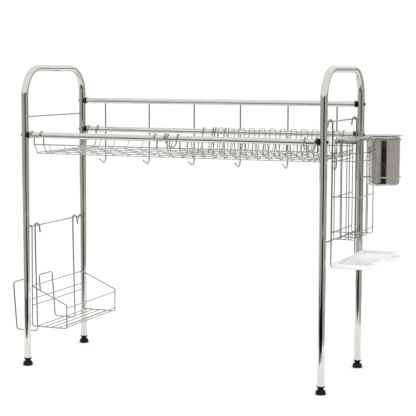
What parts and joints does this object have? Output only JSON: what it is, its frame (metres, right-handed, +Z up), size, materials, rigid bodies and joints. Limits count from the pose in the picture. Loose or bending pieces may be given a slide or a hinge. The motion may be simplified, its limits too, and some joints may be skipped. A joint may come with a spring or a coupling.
{
  "type": "dish drying rack",
  "caption": "Free-standing over-sink drying rack: bent-tube side frames, round rails, hung wire baskets, cup hooks, caddy, board holder with cutlery cup and drip tray.",
  "frame": {"origin": "middle of the object's bounding box at the floor, under the feet", "axes": "+X along the rails towards the cutlery cup, +Y to the rear with the cup hooks, +Z up"},
  "size_m": [1.079, 0.356, 0.8195],
  "materials": {
    "polished_tube": "polished stainless tube",
    "bright_wire": "drawn and electropolished stainless wire",
    "sheet_steel": "satin drawn stainless sheet",
    "dark_screw": "blackened screw heads",
    "black_moulding": "moulded black plastic",
    "white_moulding": "moulded white polypropylene"
  },
  "bodies": {
    "root": {"left_side_frame": "polished_tube", "left_lower_side_wire": "bright_wire", "left_upper_side_wire": "bright_wire", "foot_left_front": "black_moulding", "foot_left_rear": "black_moulding", "saddle_left_front_rail": "black_moulding", "screw_left_front_rail": "dark_screw", "saddle_left_rear_lower_rail": "black_moulding", "screw_left_rear_lower_rail": "dark_screw", "saddle_left_rear_upper_rail": "black_moulding", "screw_left_rear_upper_rail": "dark_screw", "right_side_frame": "polished_tube", "right_lower_side_wire": "bright_wire", "right_upper_side_wire": "bright_wire", "foot_right_front": "black_moulding", "foot_right_rear": "black_moulding", "saddle_right_front_rail": "black_moulding", "screw_right_front_rail": "dark_screw", "saddle_right_rear_lower_rail": "black_moulding", "screw_right_rear_lower_rail": "dark_screw", "saddle_right_rear_upper_rail": "black_moulding", "screw_right_rear_upper_rail": "dark_screw", "front_rail": "polished_tube", "rear_lower_rail": "polished_tube", "rear_upper_rail": "polished_tube", "cup_hook_1": "bright_wire", "cup_hook_2": "bright_wire", "cup_hook_3": "bright_wire", "cup_hook_4": "bright_wire", "cup_hook_5": "bright_wire", "cup_hook_6": "bright_wire"},
    "utility_basket": {"utility_basket": "bright_wire"},
    "dish_basket": {"dish_basket": "bright_wire", "front_plate_comb": "bright_wire", "rear_plate_comb": "bright_wire"},
    "caddy": {"caddy_basket": "bright_wire", "caddy_front_hook_wire": "bright_wire", "caddy_rear_hook_wire": "bright_wire"},
    "board_holder": {"holder_cage": "bright_wire", "holder_front_hook_wire": "bright_wire", "holder_rear_hook_wire": "bright_wire", "knife_plate": "sheet_steel", "lower_cup_hoop": "bright_wire", "upper_cup_hoop": "bright_wire", "tray_carrier": "bright_wire"},
    "cutlery_cup": {"cutlery_cup": "sheet_steel"},
    "drip_tray": {"drip_tray": "white_moulding"}
  },
  "joints": [
    {"name": "utility_basket_lift", "type": "slide", "parent": "root", "child": "utility_basket", "axis": [0, 0, 1], "range_m": [0, 0.055]},
    {"name": "dish_basket_lift", "type": "slide", "parent": "root", "child": "dish_basket", "axis": [0, 0, 1], "range_m": [0, 0.055]},
    {"name": "caddy_lift", "type": "slide", "parent": "root", "child": "caddy", "axis": [0, 0, 1], "range_m": [0, 0.05]},
    {"name": "board_holder_lift", "type": "slide", "parent": "root", "child": "board_holder", "axis": [0, 0, 1], "range_m": [0, 0.045]},
    {"name": "cutlery_cup_lift", "type": "slide", "parent": "board_holder", "child": "cutlery_cup", "axis": [0, 0, 1], "range_m": [0, 0.13]},
    {"name": "drip_tray_lift", "type": "slide", "parent": "board_holder", "child": "drip_tray", "axis": [0, 0, 1], "range_m": [0, 0.045]}
  ]
}
